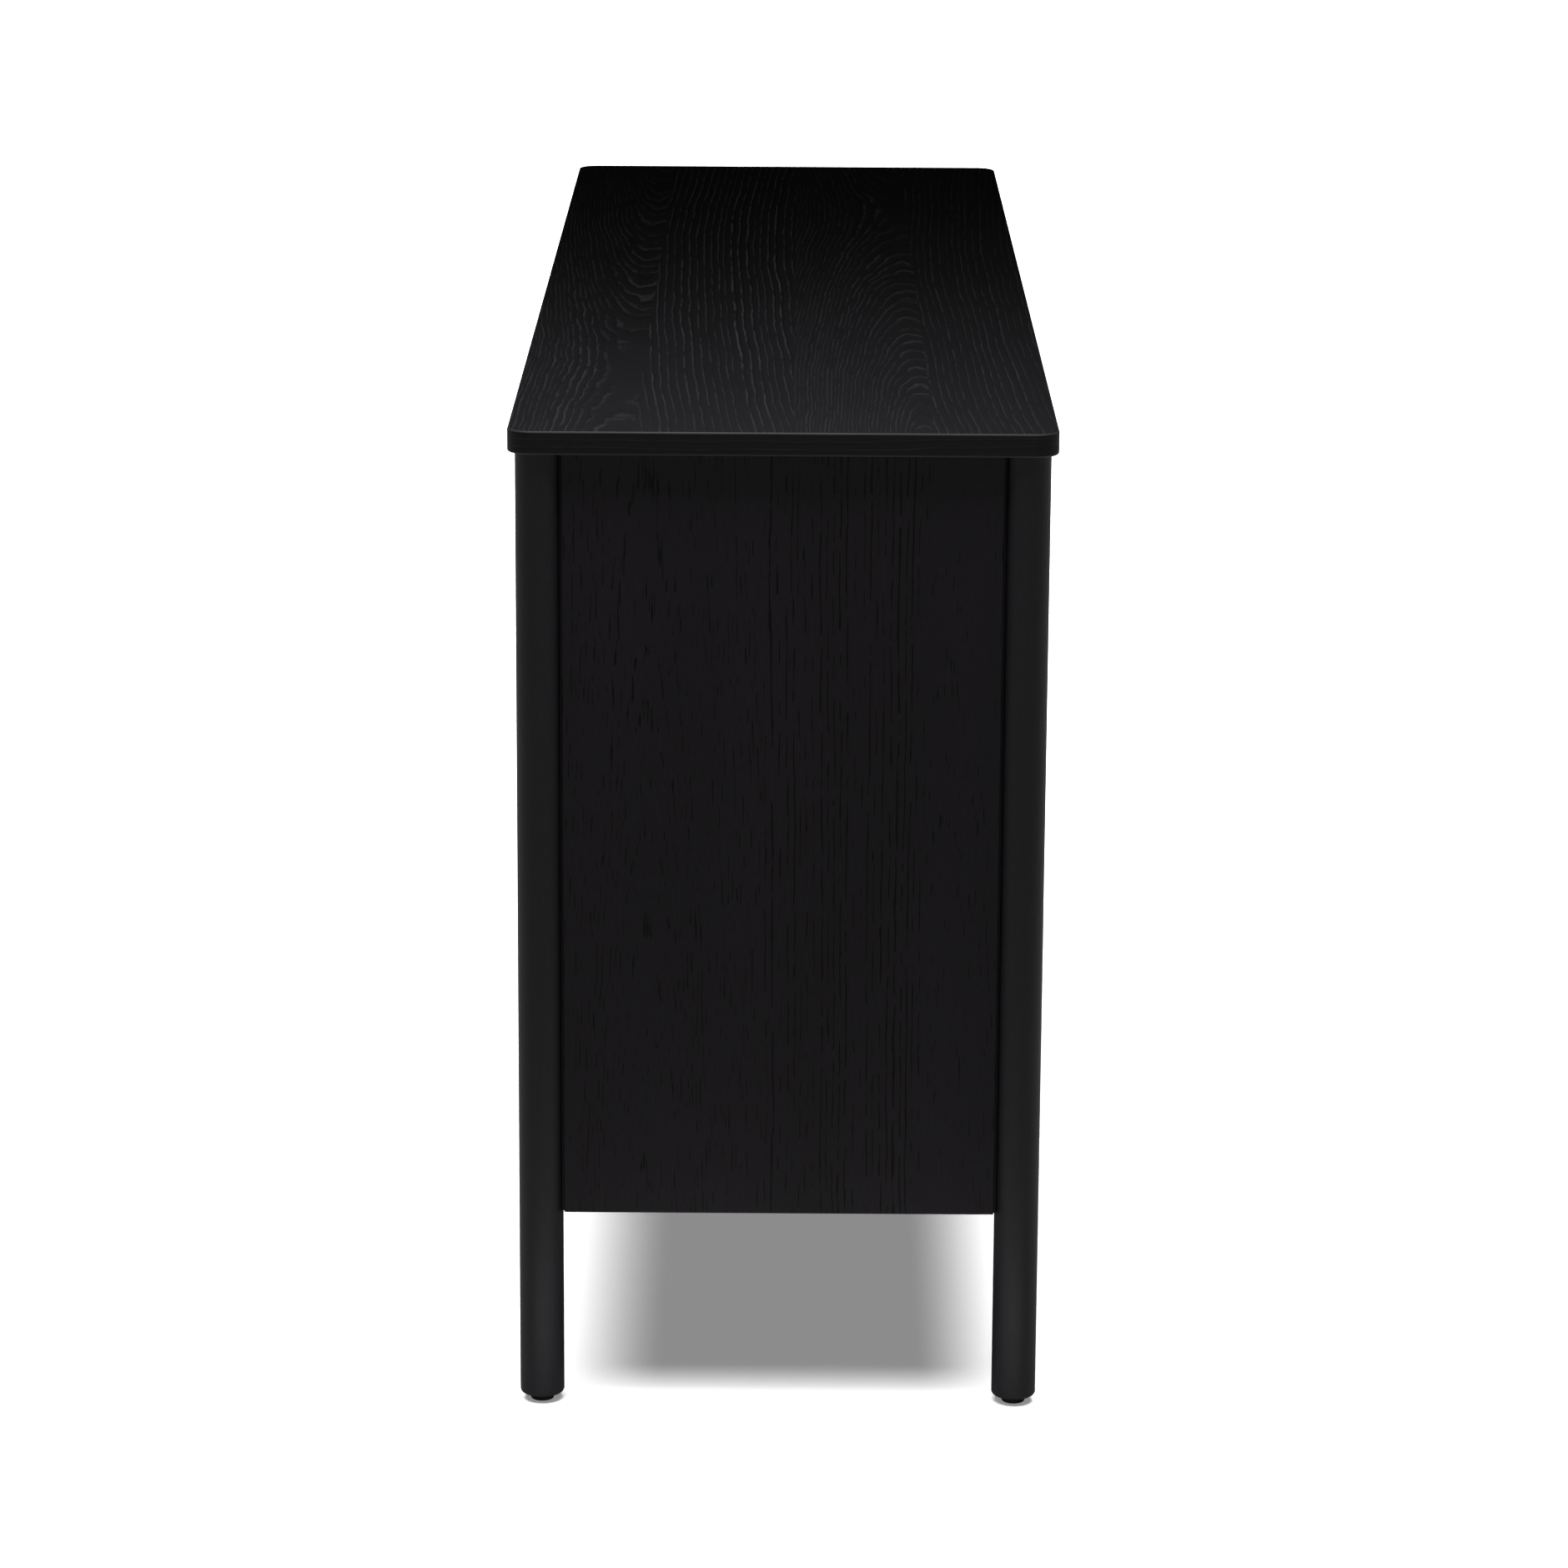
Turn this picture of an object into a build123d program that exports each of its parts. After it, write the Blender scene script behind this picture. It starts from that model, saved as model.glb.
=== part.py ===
from build123d import *
import math
import os

# Six-drawer dresser in stained oak: four round posts carry a slab top, and side panels, a back, a bottom and
# a divider make the case between them. Six drawers run on three-member telescopic slides.
#
# Frame: +Z up, the floor at Z = 0, the origin under the middle of the top. X runs along the front, and the
# drawers open towards -Y. Left is -X and right is +X, as seen from the front.

# ---------------------------------------------------------------------------------------------------------
# Driving dimensions, in millimetres
# ---------------------------------------------------------------------------------------------------------

# Whole dresser
TOP_LENGTH = 1600.0
TOP_DEPTH = 457.0
HEIGHT = 853.0
ROW_COUNT = 3

# Slab top
TOP_THICKNESS = 20.0
TOP_CORNER_RADIUS = 20.0
TOP_EDGE_RADIUS = 2.0

# Posts, and the plastic glides under them
POST_DIAMETER = 38.0
POST_OVERHANG = 6.0
POST_FOOT_RADIUS = 3.5
GLIDE_DIAMETER = 20.0
GLIDE_HEIGHT = 6.0
GLIDE_EDGE_RADIUS = 1.0
GLIDE_STEM_DIAMETER = 8.0
GLIDE_STEM_LENGTH = 20.0

# Case: panels between the posts
CASE_BOTTOM_Z = 172.0
FACE_SETBACK = 8.0
SIDE_SHADOW_GAP = 1.0
SIDE_THICKNESS = 18.0
BACK_THICKNESS = 12.0
BOTTOM_THICKNESS = 18.0
BOTTOM_RAISE = 2.0
DIVIDER_THICKNESS = 18.0
RAIL_THICKNESS = 18.0
RAIL_DEPTH = 70.0
RAIL_SETBACK = 14.5
TONGUE_THICKNESS = 8.0
TONGUE_DEPTH = 6.0
PANEL_EDGE_RADIUS = 1.0

# Drawer fronts, with a finger gap above each
FRONT_THICKNESS = 20.0
FRONT_GAP = 3.0
FRONT_TO_CASE_GAP = 2.0
FINGER_GAP = 20.0
FINGER_BEVEL_HEIGHT = 24.0
FRONT_TIP_THICKNESS = 9.0
FRONT_EDGE_RADIUS = 1.0

# Drawer boxes
BOX_SIDE_THICKNESS = 15.0
BOX_BACK_THICKNESS = 15.0
BOX_BOTTOM_THICKNESS = 6.0
BOX_BOTTOM_RISE = 10.0
BOX_RAISE = 24.0
BOX_TOP_DROP = 26.0
BOX_REAR_CLEARANCE = 20.0
HOUSING_DEPTH = 6.0
BOX_EDGE_RADIUS = 2.0

# Telescopic slides: sheet-steel channels nested in each other
SLIDE_WIDTH = 12.7
SLIDE_SHEET = 1.2
SLIDE_BEND_RADIUS = 1.5
SLIDE_HALF_HEIGHT = 22.5
SLIDE_RUNNING_GAP = 0.4
SLIDE_LENGTH_STEP = 50.0
SLIDE_FRONT_SETBACK = 4.5
SLIDE_REAR_CLEARANCE = 30.0
SLIDE_RISE = 62.0
SLIDE_POST_GAP = 1.0
SPACER_HEIGHT = 50.0

# Screws
SLIDE_SCREW_DIAMETER = 3.5
SLIDE_SCREW_LENGTH = 8.0
SLIDE_SCREW_HEAD_DIAMETER = 7.0
SLIDE_SCREW_HEAD_HEIGHT = 1.5
SLIDE_SCREW_END_MARGIN = 45.0
TOP_SCREW_DIAMETER = 4.0
TOP_SCREW_LENGTH = 30.0
TOP_SCREW_HEAD_DIAMETER = 8.0
TOP_SCREW_HEAD_HEIGHT = 2.4
TOP_SCREW_END_MARGIN = 90.0
TOP_SCREW_COUNT = 4
ANTI_TIP_HOLE_DIAMETER = 3.0
ANTI_TIP_HOLE_SPACING = 800.0
ANTI_TIP_HOLE_DEPTH = 32.0

# Clearances between fixed wooden pieces, and round a screw or a stem
JOINT_CLEARANCE = 0.1
GROOVE_END_CLEARANCE = 0.3
POST_NOTCH_CLEARANCE = 0.5
HOLE_CLEARANCE = 0.1

# How far a cut runs past the face that it starts from, and how near an edge is to count as being at a place
CUT_MARGIN = 5.0
PLACE_TOLERANCE = 0.01

# ---------------------------------------------------------------------------------------------------------
# Places worked out from them
# ---------------------------------------------------------------------------------------------------------

SIDES = (("left", -1), ("right", 1))
ENDS = (("front", -1), ("back", 1))

case_top_z = HEIGHT - TOP_THICKNESS
case_height = case_top_z - CASE_BOTTOM_Z

post_radius = POST_DIAMETER / 2
post_x = TOP_LENGTH / 2 - POST_OVERHANG - post_radius
post_y = TOP_DEPTH / 2 - POST_OVERHANG - post_radius
post_inner_x = post_x - post_radius
post_inner_y = post_y - post_radius

side_outer_x = post_x + post_radius - FACE_SETBACK
side_inner_x = side_outer_x - SIDE_THICKNESS
side_tongue_x = (side_inner_x + side_outer_x) / 2
back_inner_y = post_y - BACK_THICKNESS / 2
back_outer_y = post_y + BACK_THICKNESS / 2

front_face_y = -(post_y + post_radius - FACE_SETBACK)
front_back_y = front_face_y + FRONT_THICKNESS
case_front_y = front_back_y + FRONT_TO_CASE_GAP
rail_front_y = front_back_y + RAIL_SETBACK
front_height = (case_height - ROW_COUNT * FINGER_GAP) / ROW_COUNT
row_pitch = front_height + FINGER_GAP
front_outer_x = post_inner_x - FRONT_GAP

bottom_z = CASE_BOTTOM_Z + BOTTOM_RAISE
bottom_top_z = bottom_z + BOTTOM_THICKNESS
rail_z = case_top_z - RAIL_THICKNESS
divider_x = DIVIDER_THICKNESS / 2

slide_wall_x = post_inner_x - SLIDE_POST_GAP
slide_front_y = front_back_y + SLIDE_FRONT_SETBACK
slide_room = back_inner_y - slide_front_y - SLIDE_REAR_CLEARANCE
slide_length = SLIDE_LENGTH_STEP * math.floor(slide_room / SLIDE_LENGTH_STEP)
slide_back_y = slide_front_y + slide_length

box_inner_x = divider_x + SLIDE_WIDTH
box_outer_x = slide_wall_x - SLIDE_WIDTH
box_back_y = back_inner_y - BOX_REAR_CLEARANCE
box_height = front_height - BOX_RAISE - BOX_TOP_DROP

# Distances from the wall that a slide is screwed to, across its width
mid_web = SLIDE_SHEET + SLIDE_SCREW_HEAD_HEIGHT + SLIDE_RUNNING_GAP
mid_tip = SLIDE_WIDTH - SLIDE_SHEET - SLIDE_RUNNING_GAP
outer_tip = mid_tip - SLIDE_RUNNING_GAP
inner_tip = mid_web + SLIDE_SHEET + SLIDE_RUNNING_GAP
mid_half_height = SLIDE_HALF_HEIGHT - SLIDE_SHEET - SLIDE_RUNNING_GAP
inner_half_height = mid_half_height - SLIDE_SHEET - SLIDE_RUNNING_GAP


# ---------------------------------------------------------------------------------------------------------
# Helpers
# ---------------------------------------------------------------------------------------------------------

def block(x, y, z):
    """A rectangular block between two X, two Y and two Z values."""
    sizes = [abs(b - a) for a, b in (x, y, z)]
    centre = [(a + b) / 2 for a, b in (x, y, z)]
    return Pos(*centre) * Box(*sizes)


def reach(side, near, far):
    """The X values near and far of the middle, on the left (-1) or the right (1)."""
    return (side * near, side * far)


def rod_x(start, direction, radius, length):
    """A round rod from start along X."""
    middle = Pos(start[0] + direction * length / 2, start[1], start[2])
    return middle * Rot(0, 90, 0) * Cylinder(radius, length)


def rod_y(start, direction, radius, length):
    """A round rod from start along Y."""
    middle = Pos(start[0], start[1] + direction * length / 2, start[2])
    return middle * Rot(90, 0, 0) * Cylinder(radius, length)


def rod_z(start, radius, length):
    """A round rod from start upwards."""
    return Pos(start[0], start[1], start[2] + length / 2) * Cylinder(radius, length)


def post_notches():
    """The room that a board leaves round the four posts."""
    notch = []
    for _, side in SIDES:
        for _, end in ENDS:
            foot = (side * post_x, end * post_y, 0)
            notch.append(rod_z(foot, post_radius + POST_NOTCH_CLEARANCE, HEIGHT))
    return notch


def edges_at(part, axis, x=None, y=None, z=None):
    """The straight edges along one axis that lie at the given places."""
    found = part.edges().filter_by(axis)
    for value, name in ((x, "X"), (y, "Y"), (z, "Z")):
        if value is not None:
            found = [e for e in found if abs(getattr(e.center(), name) - value) < PLACE_TOLERANCE]
    return found


def save(name, *pieces):
    """Write one node: a single solid, or a group of separate solids."""
    solids = []
    for piece in pieces:
        solids.extend(piece.solids())
    shape = solids[0] if len(solids) == 1 else Compound(children=solids)
    export_step(shape, os.path.join("parts", name + ".step"))


# ---------------------------------------------------------------------------------------------------------
# Slab top, posts and glides
# ---------------------------------------------------------------------------------------------------------

def top_screw_places():
    """Where the screws go up through the two top rails: X and Y of each."""
    last_x = side_inner_x - TOP_SCREW_END_MARGIN
    step = 2 * last_x / (TOP_SCREW_COUNT - 1)
    front_y = rail_front_y + RAIL_DEPTH / 2
    back_y = back_inner_y - RAIL_DEPTH / 2
    return [(-last_x + i * step, y) for y in (front_y, back_y) for i in range(TOP_SCREW_COUNT)]


def top_panel():
    outline = RectangleRounded(TOP_LENGTH, TOP_DEPTH, TOP_CORNER_RADIUS)
    slab = Pos(0, 0, case_top_z) * extrude(outline, amount=TOP_THICKNESS)
    for z in (case_top_z, HEIGHT):
        outline_edges = slab.edges().filter_by_position(Axis.Z, z, z)
        slab = fillet(outline_edges, TOP_EDGE_RADIUS)
    depth = TOP_SCREW_LENGTH - RAIL_THICKNESS + HOLE_CLEARANCE
    for x, y in top_screw_places():
        slab -= rod_z((x, y, case_top_z), TOP_SCREW_DIAMETER / 2 + HOLE_CLEARANCE, depth)
    return slab


def post(side, end):
    """A round post with a bore for its glide and a groove for each panel that it holds."""
    x = side * post_x
    y = end * post_y
    body = rod_z((x, y, GLIDE_HEIGHT), post_radius, case_top_z - GLIDE_HEIGHT)
    body = fillet(body.edges().sort_by(Axis.Z)[0], POST_FOOT_RADIUS)
    bore_top = GLIDE_HEIGHT + GLIDE_STEM_LENGTH + HOLE_CLEARANCE
    body -= rod_z((x, y, 0), GLIDE_STEM_DIAMETER / 2 + HOLE_CLEARANCE, bore_top)
    groove_floor = post_radius - TONGUE_DEPTH - GROOVE_END_CLEARANCE
    groove_mouth = post_radius + CUT_MARGIN
    groove_z = (CASE_BOTTOM_Z - GROOVE_END_CLEARANCE, case_top_z + CUT_MARGIN)
    half = TONGUE_THICKNESS / 2 + JOINT_CLEARANCE
    groove_x = reach(side, side_tongue_x - half, side_tongue_x + half)
    body -= block(groove_x, (y - end * groove_floor, y - end * groove_mouth), groove_z)
    if end > 0:
        half = BACK_THICKNESS / 2 + JOINT_CLEARANCE
        body -= block((x - side * groove_floor, x - side * groove_mouth), (y - half, y + half), groove_z)
    return body


def foot_glides():
    """Plastic glides: a disc on the floor, with a stem that presses into the post."""
    glides = []
    for _, side in SIDES:
        for _, end in ENDS:
            place = (side * post_x, end * post_y, 0)
            disc = rod_z(place, GLIDE_DIAMETER / 2, GLIDE_HEIGHT)
            disc = fillet(disc.edges().sort_by(Axis.Z)[0], GLIDE_EDGE_RADIUS)
            glides.append(disc + rod_z(place, GLIDE_STEM_DIAMETER / 2, GLIDE_HEIGHT + GLIDE_STEM_LENGTH))
    return glides


# ---------------------------------------------------------------------------------------------------------
# Case
# ---------------------------------------------------------------------------------------------------------

def side_panel(side):
    """A board with a narrow shadow gap to each post, and tongues that go into the posts' grooves."""
    height = (CASE_BOTTOM_Z, case_top_z)
    shoulder_y = post_inner_y - SIDE_SHADOW_GAP
    board = block(reach(side, side_inner_x, side_outer_x), (-shoulder_y, shoulder_y), height)
    outer = side * side_outer_x
    eased = edges_at(board, Axis.Z, x=outer) + edges_at(board, Axis.Y, x=outer, z=CASE_BOTTOM_Z)
    board = fillet(eased, PANEL_EDGE_RADIUS)
    tongue_y = post_inner_y + TONGUE_DEPTH
    half = TONGUE_THICKNESS / 2
    tongue_x = reach(side, side_tongue_x - half, side_tongue_x + half)
    tongue = block(tongue_x, (-tongue_y, tongue_y), height)
    return board + tongue


def back_panel():
    """A board held in the grooves of the back posts, with two pilot holes for an anti-tip strap."""
    reach_x = post_inner_x + TONGUE_DEPTH
    board = block((-reach_x, reach_x), (back_inner_y, back_outer_y), (CASE_BOTTOM_Z, case_top_z))
    return board - anti_tip_holes()


def anti_tip_holes():
    """Pilot holes that go through the back panel into the edge of the back top rail."""
    z = case_top_z - RAIL_THICKNESS / 2
    places = [(side * ANTI_TIP_HOLE_SPACING / 2, back_outer_y, z) for _, side in SIDES]
    return [rod_y(place, -1, ANTI_TIP_HOLE_DIAMETER / 2, ANTI_TIP_HOLE_DEPTH) for place in places]


def bottom_panel():
    board = block((-side_inner_x, side_inner_x), (case_front_y, back_inner_y), (bottom_z, bottom_top_z))
    return board - post_notches()


def centre_divider():
    board = block((-divider_x, divider_x), (case_front_y, back_inner_y), (bottom_top_z, rail_z))
    return board - slide_screw_holes()


def top_rail(y):
    """A flat rail under the top, from side panel to side panel, that the top is screwed to."""
    rail = block((-side_inner_x, side_inner_x), y, (rail_z, case_top_z))
    rail -= post_notches()
    for x, screw_y in top_screw_places():
        rail -= rod_z((x, screw_y, rail_z), TOP_SCREW_DIAMETER / 2 + HOLE_CLEARANCE, RAIL_THICKNESS)
    return rail


def drawer_rails():
    """Rails set back behind the finger gaps between the rows, from the divider to the side panels."""
    rails = []
    spare = (FINGER_GAP - RAIL_THICKNESS) / 2
    for row in range(1, ROW_COUNT):
        z = CASE_BOTTOM_Z + row * row_pitch - FINGER_GAP + spare
        for _, side in SIDES:
            x = reach(side, divider_x, side_inner_x)
            rail = block(x, (rail_front_y, rail_front_y + RAIL_DEPTH), (z, z + RAIL_THICKNESS))
            rails.append(rail - post_notches())
    return rails


# ---------------------------------------------------------------------------------------------------------
# Slides
# ---------------------------------------------------------------------------------------------------------

def slide_z(row):
    """The middle height of the slides of one row."""
    return CASE_BOTTOM_Z + row * row_pitch + BOX_RAISE + SLIDE_RISE


def slide_walls(side):
    """The two faces that carry a drawer's slides: the X of each, and the way from it to the drawer."""
    return ((side * divider_x, side), (side * slide_wall_x, -side))


def channel(wall_x, toward, web, tip, half_height, z):
    """A sheet-steel channel along Y, with its web and its flange tips at distances from the wall."""
    opening = math.copysign(1, tip - web)
    web_x = wall_x + toward * web
    tip_x = wall_x + toward * tip
    y = (slide_front_y, slide_back_y)
    body = block((web_x, tip_x), y, (z - half_height, z + half_height))
    body = fillet(edges_at(body, Axis.Y, x=web_x), SLIDE_BEND_RADIUS)
    inside_x = (web_x + toward * opening * SLIDE_SHEET, tip_x + toward * opening * CUT_MARGIN)
    inside_z = (z - half_height + SLIDE_SHEET, z + half_height - SLIDE_SHEET)
    return body - block(inside_x, (y[0] - CUT_MARGIN, y[1] + CUT_MARGIN), inside_z)


def slide_screw_places(row):
    """The Y and Z of the two screws of each slide in one row."""
    z = slide_z(row)
    return [(slide_front_y + SLIDE_SCREW_END_MARGIN, z), (slide_back_y - SLIDE_SCREW_END_MARGIN, z)]


def all_slide_screws():
    """The wall X, the way out of the wall, the Y and the Z of every slide screw."""
    places = []
    for row in range(ROW_COUNT):
        for _, side in SIDES:
            for wall_x, toward in slide_walls(side):
                places.extend((wall_x, toward, y, z) for y, z in slide_screw_places(row))
    return places


def slide_screw_holes():
    radius = SLIDE_SCREW_DIAMETER / 2 + HOLE_CLEARANCE
    length = SLIDE_SCREW_LENGTH + HOLE_CLEARANCE
    holes = []
    for wall_x, toward, y, z in all_slide_screws():
        start = (wall_x + toward * SLIDE_SHEET, y, z)
        holes.append(rod_x(start, -toward, radius, length))
    return holes


def slide_screws():
    """Pan-head screws that hold the outer slide members to the divider and the spacers."""
    screws = []
    for wall_x, toward, y, z in all_slide_screws():
        start = (wall_x + toward * SLIDE_SHEET, y, z)
        head = rod_x(start, toward, SLIDE_SCREW_HEAD_DIAMETER / 2, SLIDE_SCREW_HEAD_HEIGHT)
        screws.append(head + rod_x(start, -toward, SLIDE_SCREW_DIAMETER / 2, SLIDE_SCREW_LENGTH))
    return screws


def slide_outer_members():
    members = []
    holes = slide_screw_holes()
    for row in range(ROW_COUNT):
        for _, side in SIDES:
            for wall_x, toward in slide_walls(side):
                member = channel(wall_x, toward, 0, outer_tip, SLIDE_HALF_HEIGHT, slide_z(row))
                members.append(member - holes)
    return members


def slide_pair(side, row, web, tip, half_height):
    """The same slide member on both sides of one drawer."""
    return [channel(x, toward, web, tip, half_height, slide_z(row)) for x, toward in slide_walls(side)]


def slide_spacers():
    """Wooden blocks that bring the outer slides in past the posts."""
    spacers = []
    holes = slide_screw_holes()
    start_y = -post_inner_y + POST_NOTCH_CLEARANCE
    for row in range(ROW_COUNT):
        z = (slide_z(row) - SPACER_HEIGHT / 2, slide_z(row) + SPACER_HEIGHT / 2)
        for _, side in SIDES:
            spacer = block(reach(side, slide_wall_x, side_inner_x), (start_y, slide_back_y), z)
            spacers.append(spacer - holes)
    return spacers


# ---------------------------------------------------------------------------------------------------------
# Drawers
# ---------------------------------------------------------------------------------------------------------

def box_place(side, row):
    """The drawer box's X range, from left to right, and its Z range."""
    x = sorted(reach(side, box_inner_x, box_outer_x))
    z = CASE_BOTTOM_Z + row * row_pitch + BOX_RAISE
    return x, (z, z + box_height)


def box_side_blank(side, row, left):
    """One side board, from its housing in the front to the rear end of the box."""
    x, z = box_place(side, row)
    if left:
        x = (x[0], x[0] + BOX_SIDE_THICKNESS)
    else:
        x = (x[1] - BOX_SIDE_THICKNESS, x[1])
    return x, (front_back_y - HOUSING_DEPTH, box_back_y), z


def bottom_place(side, row):
    """The thin bottom board, which goes into the sides and the front and runs on below the back."""
    x, z = box_place(side, row)
    inset = BOX_SIDE_THICKNESS - HOUSING_DEPTH
    low = z[0] + BOX_BOTTOM_RISE
    y = (front_back_y - HOUSING_DEPTH, box_back_y)
    return (x[0] + inset, x[1] - inset), y, (low, low + BOX_BOTTOM_THICKNESS)


def grown(place, x=0.0, y=0.0, z=0.0):
    """The block of a place, grown by a clearance on each of its faces."""
    grow = (x, y, z)
    return block(*[(a - g, b + g) for (a, b), g in zip(place, grow)])


def drawer_front(side, row):
    """A slab front: its back is bevelled at the top for the fingers, and housed for the box."""
    low = CASE_BOTTOM_Z + row * row_pitch
    high = low + front_height
    outline = Polyline(
        (front_face_y, low),
        (front_face_y, high),
        (front_face_y + FRONT_TIP_THICKNESS, high),
        (front_back_y, high - FINGER_BEVEL_HEIGHT),
        (front_back_y, low),
        close=True,
    )
    x = sorted(reach(side, FRONT_GAP / 2, front_outer_x))
    front = Pos(x[0], 0, 0) * extrude(Plane.YZ * make_face(outline), amount=x[1] - x[0])
    front = fillet(front.faces().sort_by(Axis.Y)[0].edges(), FRONT_EDGE_RADIUS)
    for left in (True, False):
        front -= grown(box_side_blank(side, row, left), JOINT_CLEARANCE, JOINT_CLEARANCE, JOINT_CLEARANCE)
    front -= grown(bottom_place(side, row), 0, JOINT_CLEARANCE, JOINT_CLEARANCE)
    return front


def drawer_side(side, row, left):
    """A side board with a groove for the bottom, its upper edge rounded."""
    place = box_side_blank(side, row, left)
    board = block(*place)
    board = fillet(edges_at(board, Axis.Y, z=place[2][1]), BOX_EDGE_RADIUS)
    return board - grown(bottom_place(side, row), JOINT_CLEARANCE, CUT_MARGIN, JOINT_CLEARANCE)


def drawer_back(side, row):
    """The back board, between the sides, standing on the bottom."""
    x, z = box_place(side, row)
    inner_x = (x[0] + BOX_SIDE_THICKNESS, x[1] - BOX_SIDE_THICKNESS)
    low = bottom_place(side, row)[2][1]
    board = block(inner_x, (box_back_y - BOX_BACK_THICKNESS, box_back_y), (low, z[1]))
    return fillet(edges_at(board, Axis.X, z=z[1]), BOX_EDGE_RADIUS)


def save_drawer(number, side, row):
    name = "drawer_" + str(number)
    save(name + "_front", drawer_front(side, row))
    save(name + "_left_side", drawer_side(side, row, True))
    save(name + "_right_side", drawer_side(side, row, False))
    save(name + "_back", drawer_back(side, row))
    save(name + "_bottom", block(*bottom_place(side, row)))
    save(name + "_slide_inner", *slide_pair(side, row, SLIDE_WIDTH, inner_tip, inner_half_height))
    save(name + "_slide_middle", *slide_pair(side, row, mid_web, mid_tip, mid_half_height))


# ---------------------------------------------------------------------------------------------------------
# Fasteners of the top
# ---------------------------------------------------------------------------------------------------------

def top_screws():
    """Screws that go up through the rails and hold the top down."""
    screws = []
    head_z = rail_z - TOP_SCREW_HEAD_HEIGHT
    for x, y in top_screw_places():
        head = rod_z((x, y, head_z), TOP_SCREW_HEAD_DIAMETER / 2, TOP_SCREW_HEAD_HEIGHT)
        screws.append(head + rod_z((x, y, rail_z), TOP_SCREW_DIAMETER / 2, TOP_SCREW_LENGTH))
    return screws


# ---------------------------------------------------------------------------------------------------------
# Nodes
# ---------------------------------------------------------------------------------------------------------

os.makedirs("parts", exist_ok=True)

save("top_panel", top_panel())
for side_name, side in SIDES:
    for end_name, end in ENDS:
        save("post_" + end_name + "_" + side_name, post(side, end))
    save("side_panel_" + side_name, side_panel(side))
save("foot_glides", *foot_glides())

save("bottom_panel", bottom_panel())
save("back_panel", back_panel())
save("centre_divider", centre_divider())
save("front_top_rail", top_rail((rail_front_y, rail_front_y + RAIL_DEPTH)))
save("back_top_rail", top_rail((back_inner_y - RAIL_DEPTH, back_inner_y)) - anti_tip_holes())
save("drawer_rails", *drawer_rails())

save("slide_spacers", *slide_spacers())
save("slide_outer_members", *slide_outer_members())
save("slide_screws", *slide_screws())
save("top_screws", *top_screws())

# Drawers are numbered from the top left, row by row
drawer_number = 0
for row in reversed(range(ROW_COUNT)):
    for _, side in SIDES:
        drawer_number += 1
        save_drawer(drawer_number, side, row)
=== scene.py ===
import math
from collections import namedtuple

import bpy
from mathutils import Matrix, Vector


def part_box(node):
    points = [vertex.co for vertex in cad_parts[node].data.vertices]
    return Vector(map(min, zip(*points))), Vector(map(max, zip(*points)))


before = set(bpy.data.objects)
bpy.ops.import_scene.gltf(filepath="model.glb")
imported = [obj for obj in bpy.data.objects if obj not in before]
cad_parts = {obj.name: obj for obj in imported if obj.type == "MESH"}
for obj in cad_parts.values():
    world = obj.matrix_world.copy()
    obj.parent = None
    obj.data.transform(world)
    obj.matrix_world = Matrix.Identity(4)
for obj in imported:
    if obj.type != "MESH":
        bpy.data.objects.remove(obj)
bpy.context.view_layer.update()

# ---------------------------------------------------------------------------------------------------------
# Places from the frame, in metres
# ---------------------------------------------------------------------------------------------------------

top_low, top_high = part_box("top_panel")
TOP_DEPTH = top_high.y - top_low.y
END_X = top_high.x
case_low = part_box("side_panel_left")[0].z
case_height = top_low.z - case_low

X, Y, Z = 0, 1, 2


# ---------------------------------------------------------------------------------------------------------
# Node graphs
# ---------------------------------------------------------------------------------------------------------

# A line is full up to the first share of its half width, and gone past the second
LINE_FADE = (0.1, 2.0)

# The sockets of a colour Mix node: its factor, its two colours and its result
MIX_FACTOR = 0
MIX_COLOURS = (6, 7)
MIX_RESULT = 2


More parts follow.
